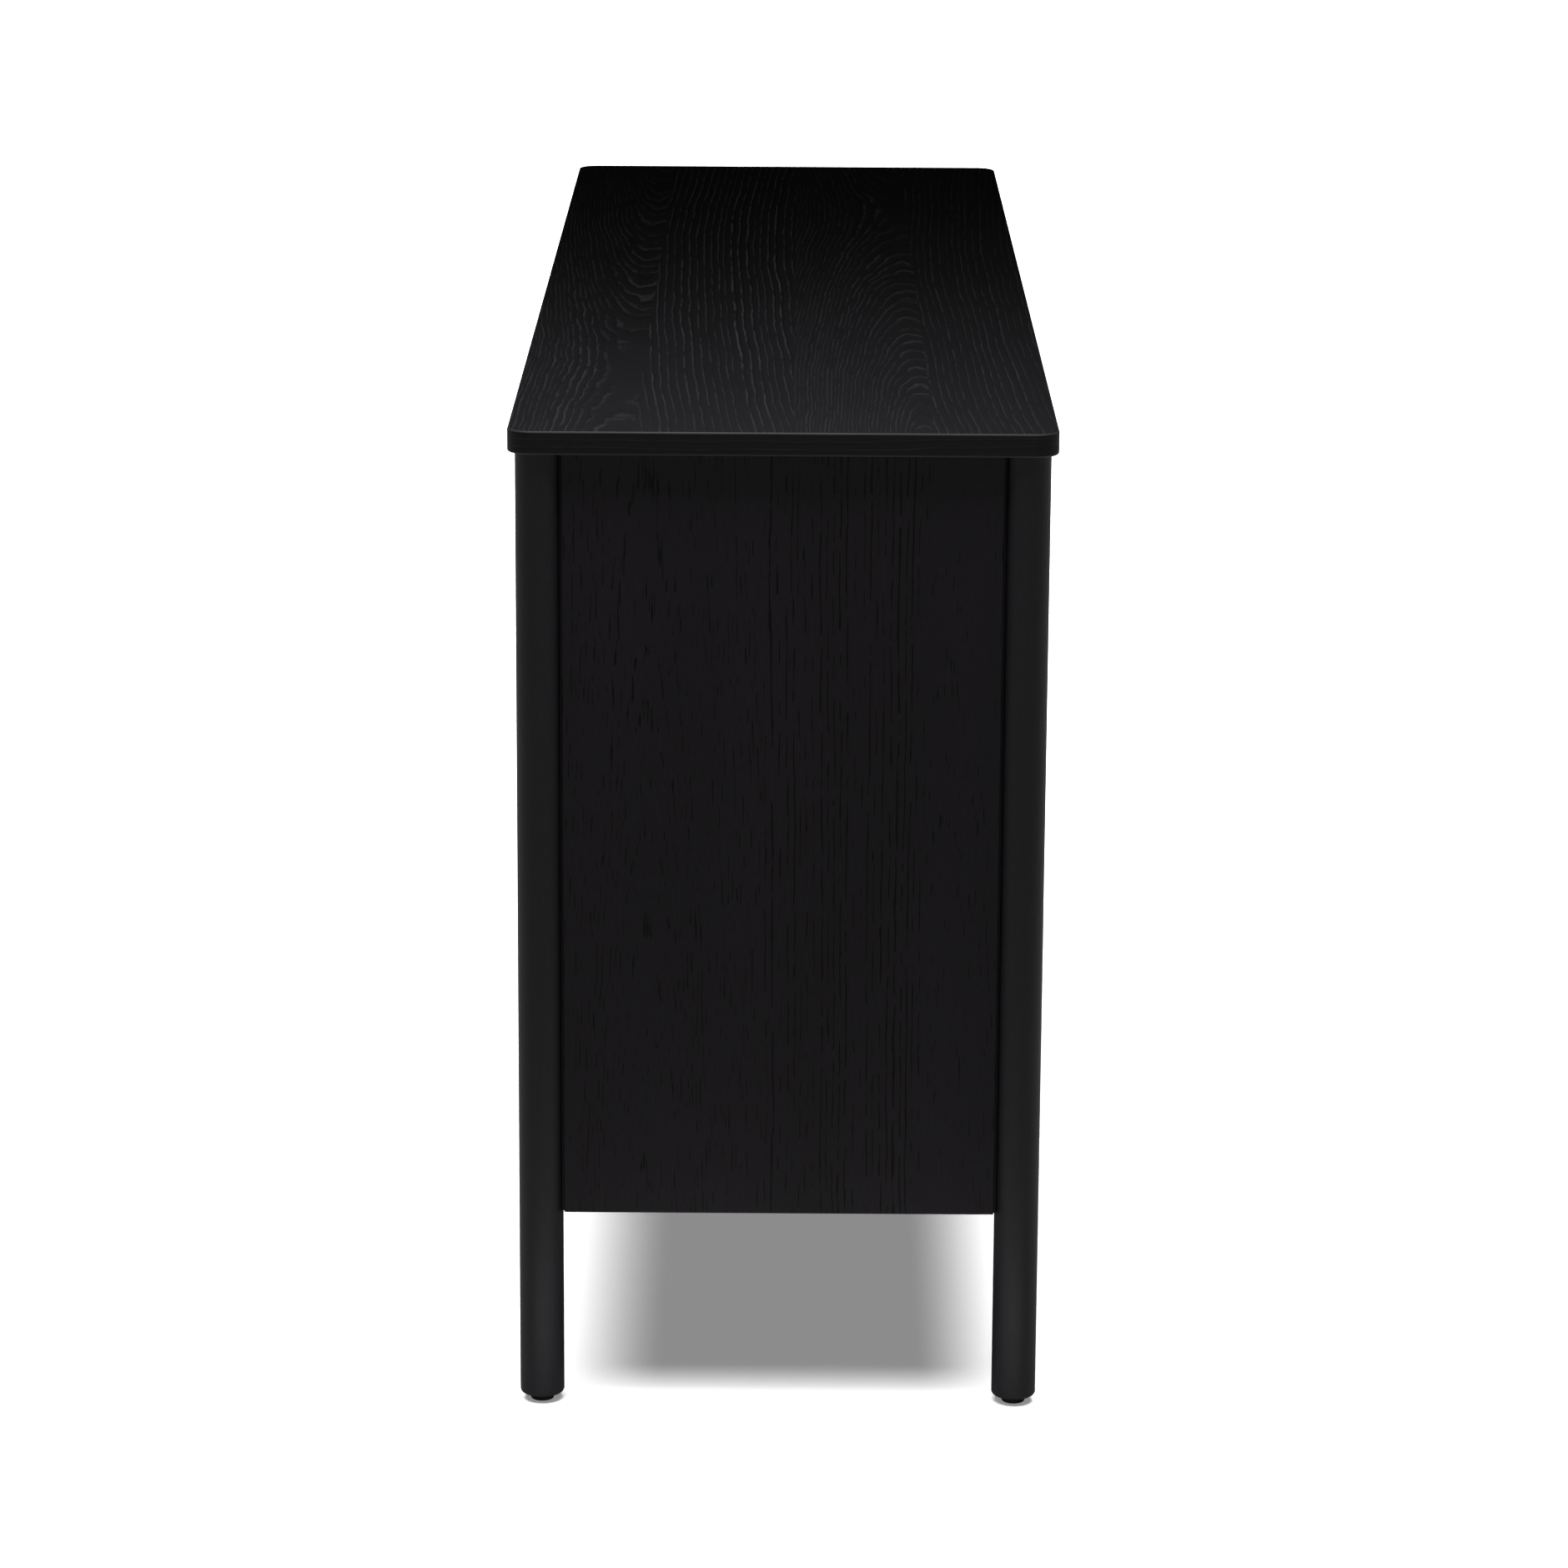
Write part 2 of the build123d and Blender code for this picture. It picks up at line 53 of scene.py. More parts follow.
class Graph:
    """A material's nodes, with short calls for the ones that this script uses."""

    def __init__(self, name):
        self.material = bpy.data.materials.new(name)
        self.material.use_nodes = True
        self.tree = self.material.node_tree
        self.tree.nodes.clear()

    def feed(self, socket, value):
        """Link a socket to a node's output, or set it to a plain value."""
        if isinstance(value, bpy.types.NodeSocket):
            self.tree.links.new(value, socket)
        else:
            socket.default_value = value

    def node(self, kind, settings=None, **inputs):
        """A node with its own settings, and its inputs by name, with _ for a space."""
        made = self.tree.nodes.new(kind)
        for key, value in (settings or {}).items():
            setattr(made, key, value)
        for key, value in inputs.items():
            self.feed(made.inputs[key.replace("_", " ")], value)
        return made

    def math(self, operation, *values):
        """The result of one sum. Each value is a socket or a plain number."""
        made = self.node("ShaderNodeMath", {"operation": operation})
        for socket, value in zip(made.inputs, values):
            self.feed(socket, value)
        return made.outputs[0]

    def add(self, a, b):
        return self.math("ADD", a, b)

    def subtract(self, a, b):
        return self.math("SUBTRACT", a, b)

    def times(self, a, b):
        return self.math("MULTIPLY", a, b)

    def less(self, share):
        """What is left of 1."""
        return self.subtract(1.0, share)

    def shift(self, value, noise, amount):
        """A value moved to both sides by a noise: by half the amount at the most."""
        return self.math("MULTIPLY_ADD", self.subtract(noise, 0.5), amount, value)

    def mix(self, factor, a, b):
        """a where the factor is 0, and b where it is 1."""
        return self.add(a, self.times(factor, self.subtract(b, a)))

    def step(self, value, ends):
        """A smooth step from 0 at the first end to 1 at the second."""
        made = self.node("ShaderNodeMapRange", {"interpolation_type": "SMOOTHSTEP"}, Value=value)
        made.inputs["From Min"].default_value = ends[0]
        made.inputs["From Max"].default_value = ends[1]
        return made.outputs["Result"]

    def noise(self, s, t, waves, lane, detail=2.0, roughness=0.5):
        """Noise from 0 to 1, with so many waves in one unit of s and of t. Each lane has its own pattern."""
        x = self.times(s, waves[0])
        y = self.times(t, waves[1])
        place = self.node("ShaderNodeCombineXYZ", X=x, Y=y, Z=lane).outputs[0]
        made = self.node("ShaderNodeTexNoise", Vector=place, Scale=1.0, Detail=detail, Roughness=roughness)
        return made.outputs["Fac"]

    def stairs(self, steps, values):
        """The first value, then the next one past each step. A step is 0 before its edge and 1 past it."""
        level = values[0]
        for passed, before, after in zip(steps, values, values[1:]):
            level = self.math("MULTIPLY_ADD", passed, after - before, level)
        return level

    def line(self, value, half):
        """1 where the value is 0, fading to 0 on both sides of it."""
        share = self.math("DIVIDE", self.math("ABSOLUTE", value), half)
        return self.less(self.step(share, LINE_FADE))

    def random(self, value, seed):
        """One random number for each whole number."""
        made = self.node("ShaderNodeTexWhiteNoise", {"noise_dimensions": "1D"}, W=self.add(value, seed))
        return made.outputs["Value"]

    def colour(self, factor, a, b):
        """Colour a where the factor is 0, and b where it is 1. Each is a socket, or three numbers."""
        made = self.node("ShaderNodeMix", {"data_type": "RGBA"})
        self.feed(made.inputs[MIX_FACTOR], factor)
        for index, value in zip(MIX_COLOURS, (a, b)):
            self.feed(made.inputs[index], (*value, 1.0) if isinstance(value, tuple) else value)
        return made.outputs[MIX_RESULT]

    def tone(self, colour, brightness):
        """A colour made brighter or darker."""
        made = self.node("ShaderNodeVectorMath", {"operation": "SCALE"}, Vector=colour, Scale=brightness)
        return made.outputs[0]

    def finish(self, colour, roughness, relief=None, **uniform):
        """The shader: a colour, a roughness, a relief and uniform numbers on its own sockets.

        relief gives a height, the metres that a height of 1 stands for, and its strength."""
        shader = self.node("ShaderNodeBsdfPrincipled", Base_Color=colour, Roughness=roughness, **uniform)
        if relief:
            height, distance, strength = relief
            bump = self.node("ShaderNodeBump", Strength=strength, Distance=distance, Height=height)
            self.feed(shader.inputs["Normal"], bump.outputs[0])
        self.node("ShaderNodeOutputMaterial", Surface=shader.outputs[0])
        return self.material


# ---------------------------------------------------------------------------------------------------------
# Wood
# ---------------------------------------------------------------------------------------------------------

# A face counts as facing an axis when its normal is within 44 degrees of it
FACE_TURN = math.cos(math.radians(44))

# Places on a face. s and t: metres along and across the grain. cut: 1 on faces that cut across the boards.
# place and normal: the parts of the point's place and of its normal along X, Y and Z.
Grain = namedtuple("Grain", "s t cut place normal")


def grain_frame(g, along, across, ends=None):
    """Places along and across the grain. ends gives other axes, and a shift, on faces that cut across it."""
    texture = g.node("ShaderNodeTexCoord")
    place = g.node("ShaderNodeSeparateXYZ", Vector=texture.outputs["Object"]).outputs
    normal = g.node("ShaderNodeSeparateXYZ", Vector=texture.outputs["Normal"]).outputs
    s = place[along]
    t = place[across]
    cut = 0.0
    for facing, (end_along, end_across, shift) in (ends or {}).items():
        on_face = g.math("GREATER_THAN", g.math("ABSOLUTE", normal[facing]), FACE_TURN)
        s = g.mix(on_face, s, place[end_along])
        t = g.mix(on_face, t, g.add(place[end_across], shift))
        cut = g.math("MAXIMUM", cut, on_face)
    return Grain(s, t, cut, place, normal)


# A board of the veneer. start: where it begins across the grain. heart: where the middle of the tree lies
# across it, and bow: how that drifts along it. crest: the place along it where the middle of the tree is
# deepest, and depth: how deep. rise: how fast it comes nearer on both sides of the crest. rings: the distance
# between growth rings. weight: how strongly they show in the middle. fade: how much less towards the high end,
# where the painted sheen of the rings is fainter.
Board = namedtuple("Board", "start heart bow crest depth rise rings weight fade")

# The growth rings on a face. offset: the distance to the nearest ring. ring: its number. rings: the distance
# between rings. weight: how strongly they show.
Figure = namedtuple("Figure", "offset ring rings weight")

# How gently the middle of the tree turns over at its crest
CREST_SOFT = 0.28

# Round the crest the rings lie flat in the face and fade out, over this range of distances across the board.
# The faded place is longer along the board by the second number.
CREST_FADE = (0.012, 0.028)
CREST_LONG = 8.0

# Thick and thin years: how far they shift a ring, in rings, and how many waves of them lie from ring to ring
YEARS_VARY = 1.1
YEARS_RATE = 0.37

# Waves of the rings in each metre along and across the grain: broad sways, and two sizes of shakes
SWAY_WAVES = (2.6, 5.0)
SHAKE_WAVES = (10.0, 26.0)
FINE_SHAKE_WAVES = (34.0, 110.0)
FINE_SHAKE_SHARE = 0.5

# What sets one board's noise and ring numbers apart from the next one's
LANE_STEP = 3.7
RING_NUMBER_STEP = 37.0


def figure(g, grain, boards, seed, sway, shake):
    """Growth rings cut by flat boards. sway and shake: how far the rings stray, in metres."""
    s, t = grain.s, grain.t
    steps = [g.math("GREATER_THAN", t, board.start) for board in boards[1:]]
    fields = [g.stairs(steps, values) for values in list(zip(*boards))[1:]]
    heart, bow, crest, depth, rise, rings, weight, fade = fields
    number = g.stairs(steps, [float(i) for i in range(len(boards))])
    lane = g.add(g.times(number, LANE_STEP), seed)

    # The distance from the middle of the tree
    past = g.subtract(s, crest)
    square = g.times(past, past)
    run = g.subtract(g.math("SQRT", g.add(square, CREST_SOFT ** 2)), CREST_SOFT)
    deep = g.subtract(depth, g.times(rise, run))
    aside = g.subtract(g.subtract(t, heart), g.times(bow, square))
    radius = g.math("SQRT", g.add(g.times(aside, aside), g.times(deep, deep)))
    radius = g.shift(radius, g.noise(s, t, SWAY_WAVES, lane, detail=1.0), sway)
    radius = g.shift(radius, g.noise(s, t, SHAKE_WAVES, lane, detail=1.0), shake)
    radius = g.shift(radius, g.noise(s, t, FINE_SHAKE_WAVES, lane, detail=1.0), shake * FINE_SHAKE_SHARE)

    # How strongly the rings show: not round the crest, and less towards the high end, where their painted sheen
    # is fainter
    clear = g.math("SQRT", g.add(g.times(aside, aside), g.times(square, 1.0 / CREST_LONG ** 2)))
    weight = g.times(g.times(weight, g.step(clear, CREST_FADE)), g.less(g.times(s, fade)))

    # Which ring it is, and how far from it
    turn = g.math("DIVIDE", radius, rings)
    years = g.noise(turn, lane, (YEARS_RATE, 1.0), 0.0, detail=1.0)
    turn = g.shift(turn, years, YEARS_VARY)
    offset = g.times(g.subtract(g.math("FRACT", turn), 0.5), rings)
    ring = g.add(g.math("FLOOR", turn), g.times(number, RING_NUMBER_STEP))
    return Figure(offset, ring, rings, weight)


# Black-stained oak: the colour of the pale lines and arrises, a painted sheen and a painted highlight, how far
# the rings sway in metres, and the roughness at a fibre of 0 and of 1
PAINTED_SHEEN_COLOUR = (0.040, 0.040, 0.044)
OAK_SWAY = 0.012
OAK_ROUGH = (0.60, 0.46)

# Waves of the fibre and the stain in each metre along and across the grain
FIBRE_WAVES = (55.0, 1300.0)
CLOUD_WAVES = (2.6, 11.0)
PATCH_WAVES = (9.0, 40.0)

# What is added to the seed to set each noise apart from the fibre's, which takes the seed itself
LINE_BREAK_LANE = 3.0
CLOUD_LANE = 5.0
PATCH_LANE = 6.0
ROW_BREAK_LANE = 9.0
DASH_LANE = 13.0
RING_LANE = 50.0

# Waves that break the pale lines, and the rows of pores, in each metre along a ring and from ring to ring.
# A line or row is broken below the first level of the noise and whole above the second.
LINE_BREAK_WAVES = (17.0, 5.3)
LINE_BREAK_LEVELS = (0.36, 0.58)
ROW_BREAK_WAVES = (21.0, 7.1)
ROW_BREAK_LEVELS = (0.32, 0.50)

# Half the width of a pale line and of a row of pores: a share of the distance between rings, and metres
LINE_HALF = (0.055, 0.0002)
ROW_HALF = (0.07, 0.0002)

# The weakest ring's strength, when the strongest has 1
RING_WEAKEST = 0.45

# Strength of the lines in patches: at a noise of 0, and how much more at a noise of 1
PATCH_LINES = (0.55, 0.9)

# How much fainter the rings are on faces that cut across the boards
CUT_FADE = 0.6

# A painted shade beside each pale line: how far from the ring, in rings, and how dark
SHADE_ASIDE = 0.22
SHADE_DARK = 0.45

# Pores are dashes of noise. The rows add to it, and so does a cloudy stain. They open between two levels.
DASH_WAVES = (34.0, 900.0)
ROW_CROWDS = 0.48
CLOUD_CROWDS = 0.16
PORE_LEVELS = (0.74, 0.80)

# Brightness of the stain: at a noise of 0, and how much more at a noise of 1
CLOUD_TONE = (0.80, 0.4)
FIBRE_TONE = (0.84, 0.32)

# How deep a pore or a shade and how high a fibre are, as shares of a pale line's height, and the strength of
# the relief
DARK_DEEP = 0.9
FIBRE_HIGH = 0.20
OAK_RELIEF_STRENGTH = 0.8

# An arris starts and ends where the surface has turned this far: the parts of its normal along the face's axis
ARRIS_STARTS = (0.10, 0.40)
ARRIS_ENDS = (0.90, 0.99)


def oak(name, along, across, boards, seed, ground, ends=None, line_strength=1.0, pore_strength=0.0,
        shake=0.0030, specular=0.10, relief=0.00022, face=None, painted_arris_highlight=0.0):
    """Black-stained, brushed oak. The rings show as broken pale lines of painted sheen, or as rows of short
    dark pores.

    ground is the stain's colour, painted paler on the side panels and fronts to stand in for the light on them.
    relief is the height of a pale line in metres. face is the axis that the broad face looks along, and
    painted_arris_highlight is how much paler its arrises are painted, a painted highlight."""
    g = Graph(name)
    grain = grain_frame(g, along, across, ends)
    s, t = grain.s, grain.t
    offset, ring, rings, weight = figure(g, grain, boards, seed, OAK_SWAY, shake)
    fibre = g.noise(s, t, FIBRE_WAVES, seed, roughness=0.6)
    cloud = g.noise(s, t, CLOUD_WAVES, seed + CLOUD_LANE, detail=3.0)
    patch = g.noise(s, t, PATCH_WAVES, seed + PATCH_LANE)

    # Pale lines: a painted sheen on a thin ridge on each ring, broken here and there, some rings stronger than
    # others
    own = g.add(RING_WEAKEST, g.times(g.random(ring, seed + RING_LANE), 1.0 - RING_WEAKEST))
    whole = g.noise(s, ring, LINE_BREAK_WAVES, seed + LINE_BREAK_LANE, detail=3.0, roughness=0.65)
    half = g.math("MULTIPLY_ADD", rings, *LINE_HALF)
    ridge = g.times(g.line(offset, half), g.times(own, g.step(whole, LINE_BREAK_LEVELS)))
    ridge = g.times(g.times(ridge, weight), g.add(PATCH_LINES[0], g.times(patch, PATCH_LINES[1])))
    ridge = g.times(ridge, g.less(g.times(grain.cut, CUT_FADE)))
    pale = g.times(ridge, line_strength)
    shade = g.times(g.line(g.subtract(offset, g.times(rings, SHADE_ASIDE)), half), g.times(own, weight))

    # Dark pores: thin dashes in rows along the rings, and a few between them
    whole = g.noise(s, ring, ROW_BREAK_WAVES, seed + ROW_BREAK_LANE, roughness=0.7)
    row = g.line(offset, g.math("MULTIPLY_ADD", rings, *ROW_HALF))
    row = g.times(row, g.step(whole, ROW_BREAK_LEVELS))
    dashes = g.noise(s, t, DASH_WAVES, seed + DASH_LANE, detail=1.0)
    dashes = g.add(dashes, g.times(g.times(row, own), g.times(weight, ROW_CROWDS)))
    pores = g.step(g.shift(dashes, cloud, CLOUD_CROWDS), PORE_LEVELS)
    dark = g.math("MAXIMUM", g.times(pores, pore_strength), g.times(shade, SHADE_DARK * line_strength))

    base = g.colour(pale, ground, PAINTED_SHEEN_COLOUR)
    # Arrises painted paler towards the line colour: a painted highlight along the rounded edges
    if face is not None:
        turned = g.math("ABSOLUTE", grain.normal[face])
        arris = g.subtract(g.step(turned, ARRIS_STARTS), g.step(turned, ARRIS_ENDS))
        base = g.colour(g.times(arris, painted_arris_highlight), base, PAINTED_SHEEN_COLOUR)
    cloudy = g.add(CLOUD_TONE[0], g.times(cloud, CLOUD_TONE[1]))
    fibrous = g.add(FIBRE_TONE[0], g.times(fibre, FIBRE_TONE[1]))
    toned = g.tone(base, g.times(g.times(cloudy, fibrous), g.less(dark)))
    height = g.add(g.subtract(pale, g.times(dark, DARK_DEEP)), g.times(fibre, FIBRE_HIGH))
    roughness = g.mix(fibre, *OAK_ROUGH)
    return g.finish(toned, roughness, (height, relief, OAK_RELIEF_STRENGTH), Specular_IOR_Level=specular)


# Clear-lacquered birch: one broad board, how far its rings sway and shake, the distances from a ring where its
# late wood begins and is full, how strongly that shows, and the colours of early and late wood
BIRCH_BOARDS = [Board(-9.0, 0.3, 0.0, 0.2, 0.30, 0.06, 0.007, 1.0, 0.0)]
BIRCH_SWAY = 0.05
BIRCH_SHAKE = 0.003
BIRCH_BAND = (-0.0030, 0.0032)
BIRCH_BAND_STRENGTH = 0.5
BIRCH_EARLY = (0.60, 0.43, 0.27)
BIRCH_LATE = (0.47, 0.31, 0.18)

# Its fibre and cloud: waves in each metre, and brightness at a noise of 0 and how much more at 1
BIRCH_FIBRE_WAVES = (40.0, 1100.0)
BIRCH_FIBRE_TONE = (0.90, 0.2)
BIRCH_CLOUD_WAVES = (3.0, 8.0)
BIRCH_CLOUD_TONE = (0.86, 0.28)

# Its roughness at a fibre of 0 and of 1, how high its fibre and its band stand, what a height of 1 stands for
# in metres, and the strength of the relief
BIRCH_ROUGH = (0.50, 0.38)
BIRCH_FIBRE_HIGH = 0.5
BIRCH_BAND_HIGH = 0.3
BIRCH_RELIEF = 0.00012
BIRCH_RELIEF_STRENGTH = 0.4


def birch(name, along, across, ends, seed):
    """Clear-lacquered birch of the drawer boxes."""
    g = Graph(name)
    grain = grain_frame(g, along, across, ends)
    rings = figure(g, grain, BIRCH_BOARDS, seed, BIRCH_SWAY, BIRCH_SHAKE)
    band = g.step(rings.offset, BIRCH_BAND)
    fibre = g.noise(grain.s, grain.t, BIRCH_FIBRE_WAVES, seed, detail=3.0, roughness=0.6)
    cloud = g.noise(grain.s, grain.t, BIRCH_CLOUD_WAVES, seed + CLOUD_LANE, detail=3.0)
    base = g.colour(g.times(band, BIRCH_BAND_STRENGTH), BIRCH_EARLY, BIRCH_LATE)
    cloudy = g.add(BIRCH_CLOUD_TONE[0], g.times(cloud, BIRCH_CLOUD_TONE[1]))
    fibrous = g.add(BIRCH_FIBRE_TONE[0], g.times(fibre, BIRCH_FIBRE_TONE[1]))
    height = g.add(g.times(fibre, BIRCH_FIBRE_HIGH), g.times(band, BIRCH_BAND_HIGH))
    return g.finish(g.tone(base, g.times(cloudy, fibrous)), g.mix(fibre, *BIRCH_ROUGH),
                    (height, BIRCH_RELIEF, BIRCH_RELIEF_STRENGTH), Specular_IOR_Level=0.5)


# ---------------------------------------------------------------------------------------------------------
# Steel and plastic
# ---------------------------------------------------------------------------------------------------------

# The strength of the relief of both
FINE_RELIEF_STRENGTH = 0.5

# Zinc-plated steel: clouds in each metre, the range they darken over, how dark, and how much rougher
ZINC_CLOUD_WAVES = (30.0, 40.0)
ZINC_CLOUD_LEVELS = (0.3, 0.7)
ZINC_DARK = 0.72
ZINC_ROUGH_VARY = 0.2

# Its rolling lines: waves in each metre along and across it, and relief in metres
ROLLED_WAVES = (12.0, 2200.0)
ROLLED_RELIEF = 0.00003

# Moulded plastic: waves of its texture and its clouds in each metre, its relief in metres, and how much
# paler and rougher its clouds are
SPARK_WAVES = (4000.0, 4000.0)
SPARK_RELIEF = 0.00004
PLASTIC_CLOUD_WAVES = (60.0, 60.0)
PLASTIC_PALE = 1.5
PLASTIC_ROUGH_VARY = 0.15


def steel(name, base, rough, seed):
    """Zinc-plated sheet steel: a soft cloudy grey with faint rolling lines along it."""
    g = Graph(name)
    grain = grain_frame(g, Y, Z)
    third = g.times(grain.place[X], ZINC_CLOUD_WAVES[1])
    cloud = g.noise(grain.s, grain.t, ZINC_CLOUD_WAVES, third, detail=4.0)
    rolled = g.noise(grain.s, grain.t, ROLLED_WAVES, seed, detail=1.0)
    low = tuple(ZINC_DARK * part for part in base)
    colour = g.colour(g.step(cloud, ZINC_CLOUD_LEVELS), low, base)
    roughness = g.shift(rough, cloud, ZINC_ROUGH_VARY)
    return g.finish(colour, roughness, (rolled, ROLLED_RELIEF, FINE_RELIEF_STRENGTH), Metallic=1.0)


def moulded(name, base, rough):
    """Moulded plastic with a fine spark-eroded texture."""
    g = Graph(name)
    grain = grain_frame(g, X, Y)
    third = grain.place[Z]
    fine = g.noise(grain.s, grain.t, SPARK_WAVES, g.times(third, SPARK_WAVES[0]))
    cloud = g.noise(grain.s, grain.t, PLASTIC_CLOUD_WAVES, g.times(third, PLASTIC_CLOUD_WAVES[0]))
    colour = g.colour(cloud, base, tuple(PLASTIC_PALE * part for part in base))
    roughness = g.add(rough, g.times(cloud, PLASTIC_ROUGH_VARY))
    return g.finish(colour, roughness, (fine, SPARK_RELIEF, FINE_RELIEF_STRENGTH), Specular_IOR_Level=0.1)


# ---------------------------------------------------------------------------------------------------------
# Materials on the CAD nodes
# ---------------------------------------------------------------------------------------------------------


def boards_across(low, width, *boards):
    """Boards whose start and heart are given as shares of the width that they cover."""
    return [Board(low + b.start * width, low + b.heart * width, *b[2:]) for b in boards]


top_boards = boards_across(
    top_low.y, TOP_DEPTH,
    Board(0.0, 0.208, 0.0, 0.50, 0.090, 0.064, 0.0031, 0.60, 0.3),
    Board(0.230, -1.2, 0.027, -0.25, 0.05, 0.0, 0.0073, 1.0, 0.8),
    Board(0.520, 0.755, 0.0, -0.52, 0.092, 0.076, 0.0033, 0.55, 0.3),
    Board(0.773, 2.4, 0.030, 0.0, 0.05, 0.0, 0.0070, 0.50, 0.3),
)
side_boards = boards_across(
    top_low.y, TOP_DEPTH,
    Board(0.0, 0.250, 0.0, 1.0, 0.054, 0.070, 0.0030, 0.54, 0.0),
    Board(0.47, -1.5, 0.0, 0.0, 0.05, 0.0, 0.0058, 1.0, 0.0),
    Board(0.766, 0.80, 0.0, 1.0, 0.066, 0.062, 0.0032, 0.38, 0.0),
)
front_boards = boards_across(
    case_low, case_height,
    Board(0.0, 0.16, 0.0, 0.3, 0.060, 0.060, 0.0050, 0.60, 0.0),
    Board(0.30, -1.5, 0.02, 0.0, 0.05, 0.0, 0.0064, 1.0, 0.0),
    Board(0.55, 0.75, 0.0, -0.4, 0.070, 0.070, 0.0050, 0.50, 0.0),
    Board(0.85, 2.5, 0.02, 0.0, 0.05, 0.0, 0.0066, 0.80, 0.0),
)
post_boards = [Board(-9.0, 3.0, 0.0, 0.0, 0.1, 0.0, 0.0080, 1.0, 0.0)]

# The shift gives the edges of the top the figure of its last plank, whose rings are wide apart
EDGE_SHIFT = 0.18 - top_high.z

# The top shows its pale lines, a painted sheen on the grain, at full strength; the side panels and fronts at a
# tenth
oak_top = oak(
    "oak_top", X, Y, top_boards, seed=4.0, ground=(0.0085, 0.0082, 0.0092),
    ends={X: (Y, Z, EDGE_SHIFT), Y: (X, Z, EDGE_SHIFT)}, shake=0.0042, face=Z, painted_arris_highlight=0.7,
)
# The side panels' and fronts' grounds are painted paler than the top's: lit copies of one stain, standing in
# for the light on those faces
oak_side = oak(
    "oak_side", Z, Y, side_boards, seed=11.0, ground=(0.0129, 0.0109, 0.0130),
    ends={Y: (Z, X, 0.0), Z: (Y, X, 0.0)}, line_strength=0.10, pore_strength=0.90, shake=0.0045,
    face=X, painted_arris_highlight=0.25,
)
oak_front = oak(
    "oak_front", X, Z, front_boards, seed=21.0, ground=(0.0116, 0.0098, 0.0117),
    ends={X: (Z, Y, 0.0), Z: (X, Y, 0.0)}, line_strength=0.10, pore_strength=0.90, shake=0.0045,
)
oak_post = oak(
    "oak_post", Z, Y, post_boards, seed=31.0, ground=(0.0075, 0.0061, 0.0082),
    line_strength=0.05, pore_strength=0.20, specular=0.25, relief=0.00008,
)
birch_side = birch("birch_side", Y, Z, {Z: (Y, X, 0.0)}, 41.0)
birch_across = birch("birch_across", X, Z, {Z: (X, Y, 0.0)}, 51.0)
zinc = steel("zinc", (0.60, 0.61, 0.62), 0.34, 0.0)
screw_zinc = steel("screw_zinc", (0.50, 0.49, 0.46), 0.30, 3.0)
plastic = moulded("plastic", (0.0045, 0.0045, 0.0050), 0.45)


def finish_for(node):
    """The material of one CAD node, from its name."""
    if node == "top_panel":
        return oak_top
    if node.startswith("post_"):
        return oak_post
    if node.startswith("side_panel") or node == "centre_divider":
        return oak_side
    if node == "foot_glides":
        return plastic
    if "screws" in node:
        return screw_zinc
    if "slide_" in node and "spacers" not in node:
        return zinc
    if node.endswith(("left_side", "right_side")):
        return birch_side
    if node.startswith("drawer_") and node.endswith(("_back", "_bottom")):
        return birch_across
    return oak_front


for node_name, cad_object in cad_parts.items():
    slots = cad_object.data.materials
    if not slots:
        slots.append(finish_for(node_name))
    for slot in cad_object.material_slots:
        slot.material = finish_for(node_name)


# ---------------------------------------------------------------------------------------------------------
# Floor and light
# ---------------------------------------------------------------------------------------------------------

scene = bpy.context.scene
scene.view_settings.view_transform = "Standard"

WHITE = (1.0, 1.0, 1.0)

# The floor: how far it reaches, in metres, how bright it is to the eye and to the object, and the glow that
# keeps its shadows pale
FLOOR_REACH = 60.0
FLOOR_SEEN = (0.80, 0.80, 0.80)
FLOOR_BOUNCE = (0.21, 0.21, 0.21)
FLOOR_GLOW = 0.260
FLOOR_ROUGH = 0.9

# The light on the floor alone: its strength, how wide its disc is, and how far it leans to shine backwards
FLOOR_LIGHT = 9.2
FLOOR_LIGHT_SPREAD = math.radians(60)
FLOOR_LIGHT_TILT = math.radians(3)

# How bright the surroundings are to the object
WALL_LIGHT = 0.006

# A soft light: its place and the place that it looks at, its width and depth, all in metres, and its watts
Softbox = namedtuple("Softbox", "name place aim width depth power")

# The key hangs over the seen end, and grazes it
KEY = Softbox("key", (END_X + 0.07, -0.05, 1.75), (END_X + 0.07, -0.05, 0.0), 0.6, 0.6, 16.5)

# A low light that shows in the gloss of the legs at the seen end, and fills that don't show in any gloss
LOW = Softbox("low", (END_X + 0.16, 0.0, 0.01), (END_X, 0.0, 0.03), 0.6, 0.1, 0.50)
FILLS = (
    Softbox("fill_front", (0.0, -1.3, 0.25), (0.0, 0.0, 0.25), 1.5, 0.4, 14.0),
    Softbox("fill_back", (0.0, 1.3, 0.25), (0.0, 0.0, 0.25), 1.5, 0.4, 14.0),
    Softbox("fill_far", (-END_X - 1.0, 0.0, 0.25), (0.0, 0.0, 0.25), 0.4, 0.4, 7.0),
)


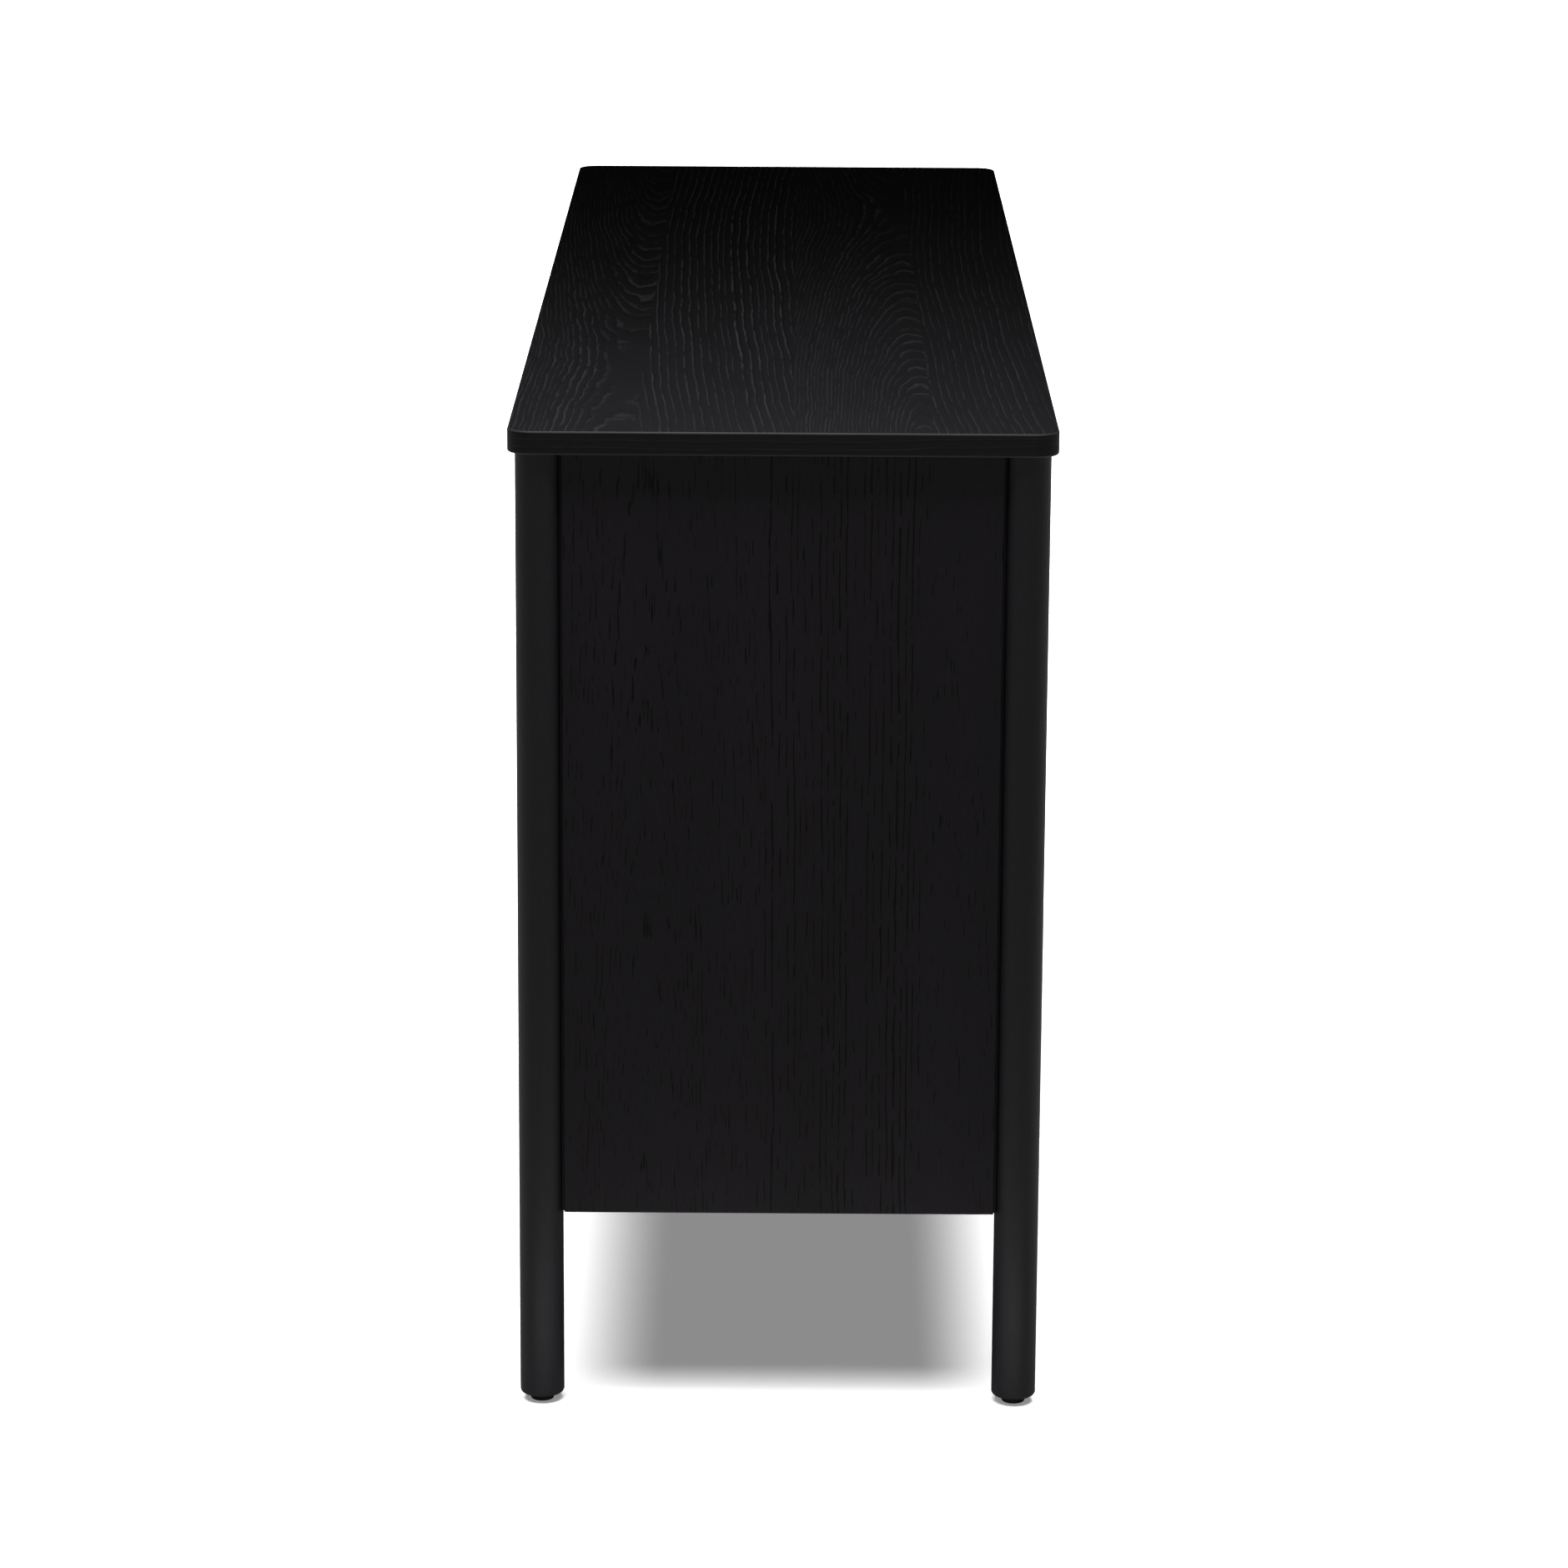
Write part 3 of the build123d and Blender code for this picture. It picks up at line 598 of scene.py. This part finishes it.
def white_floor():
    """A floor that is seen white, with pale shadows, and sends a softer light back up to the object."""
    corners = [(-FLOOR_REACH, -FLOOR_REACH, 0), (FLOOR_REACH, -FLOOR_REACH, 0),
               (FLOOR_REACH, FLOOR_REACH, 0), (-FLOOR_REACH, FLOOR_REACH, 0)]
    mesh = bpy.data.meshes.new("floor")
    mesh.from_pydata(corners, [], [(0, 1, 2, 3)])
    floor = bpy.data.objects.new("floor", mesh)
    scene.collection.objects.link(floor)
    g = Graph("floor_white")
    seen = g.node("ShaderNodeLightPath").outputs["Is Camera Ray"]
    grey = g.colour(seen, FLOOR_BOUNCE, FLOOR_SEEN)
    glow = g.times(seen, FLOOR_GLOW)
    mesh.materials.append(g.finish(grey, FLOOR_ROUGH, Specular_IOR_Level=0.0, Emission_Color=(*WHITE, 1.0),
                                   Emission_Strength=glow))
    return floor


def lamp(name, kind, power):
    """A light of any kind, at the origin, that shines straight down."""
    light = bpy.data.lights.new(name, kind)
    light.energy = power
    made = bpy.data.objects.new(name, light)
    scene.collection.objects.link(made)
    return made


def light_floor(floor):
    """A soft light from above that falls on the floor alone."""
    lit = bpy.data.collections.new("lit_floor")
    lit.objects.link(floor)
    overhead = lamp("floor_light", "SUN", FLOOR_LIGHT)
    overhead.data.angle = FLOOR_LIGHT_SPREAD
    overhead.rotation_euler.x = FLOOR_LIGHT_TILT
    overhead.light_linking.receiver_collection = lit


def dim_walls():
    """Dim surroundings that light the object a little, behind a backdrop that is seen white."""
    world = bpy.data.worlds.new("studio")
    scene.world = world
    world.use_nodes = True
    tree = world.node_tree
    background = tree.nodes["Background"]
    path = tree.nodes.new("ShaderNodeLightPath")
    strength = tree.nodes.new("ShaderNodeMath")
    strength.operation = "MAXIMUM"
    strength.inputs[1].default_value = WALL_LIGHT
    tree.links.new(path.outputs["Is Camera Ray"], strength.inputs[0])
    tree.links.new(strength.outputs[0], background.inputs["Strength"])
    background.inputs["Color"].default_value = (*WHITE, 1.0)


def softbox(box):
    """The rectangular area light that a Softbox describes."""
    light = lamp(box.name, "AREA", box.power)
    light.data.shape = "RECTANGLE"
    light.data.size = box.width
    light.data.size_y = box.depth
    light.location = box.place
    light.rotation_mode = "QUATERNION"
    light.rotation_quaternion = (Vector(box.aim) - Vector(box.place)).to_track_quat("-Z", "Y")
    return light


def light_object():
    """The low light and the fills fall on the object alone and aren't seen, and the key falls on everything."""
    lit = bpy.data.collections.new("lit_object")
    for node_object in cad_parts.values():
        lit.objects.link(node_object)
    for box in (LOW, *FILLS):
        light = softbox(box)
        light.visible_camera = False
        light.visible_glossy = box is LOW
        light.light_linking.receiver_collection = lit
    softbox(KEY)


light_floor(white_floor())
dim_walls()
light_object()

# ---------------------------------------------------------------------------------------------------------
# Camera, fitted to the corners of the object in the photograph
# ---------------------------------------------------------------------------------------------------------

# Its distance from the seen end, its height and its place to the side, in metres
CAMERA_DISTANCE = 4.453
CAMERA_HEIGHT = 1.685
CAMERA_ASIDE = 0.0065

# Pitch looks down, yaw looks to the side, and roll leans the picture
CAMERA_PITCH = math.radians(14.24)
CAMERA_YAW = math.radians(-0.054)
CAMERA_ROLL = math.radians(-0.339)

# Its lens and its film, in millimetres, and how far it sees, in metres
CAMERA_LENS = 126.15
CAMERA_FILM = 36.0
CAMERA_REACH = 200.0


def place_camera():
    """The camera, before the seen end."""
    data = bpy.data.cameras.new("camera")
    data.lens = CAMERA_LENS
    data.sensor_width = CAMERA_FILM
    data.clip_end = CAMERA_REACH
    camera = bpy.data.objects.new("camera", data)
    scene.collection.objects.link(camera)
    scene.camera = camera
    forward = Vector((-math.cos(CAMERA_YAW) * math.cos(CAMERA_PITCH),
                      math.sin(CAMERA_YAW) * math.cos(CAMERA_PITCH),
                      -math.sin(CAMERA_PITCH)))
    level = Vector((math.sin(CAMERA_YAW), math.cos(CAMERA_YAW), 0.0))
    upward = level.cross(forward)
    right = level * math.cos(CAMERA_ROLL) - upward * math.sin(CAMERA_ROLL)
    up = level * math.sin(CAMERA_ROLL) + upward * math.cos(CAMERA_ROLL)
    turn = Matrix((right, up, -forward)).transposed().to_4x4()
    place = Matrix.Translation((END_X + CAMERA_DISTANCE, CAMERA_ASIDE, CAMERA_HEIGHT))
    camera.matrix_world = place @ turn


place_camera()
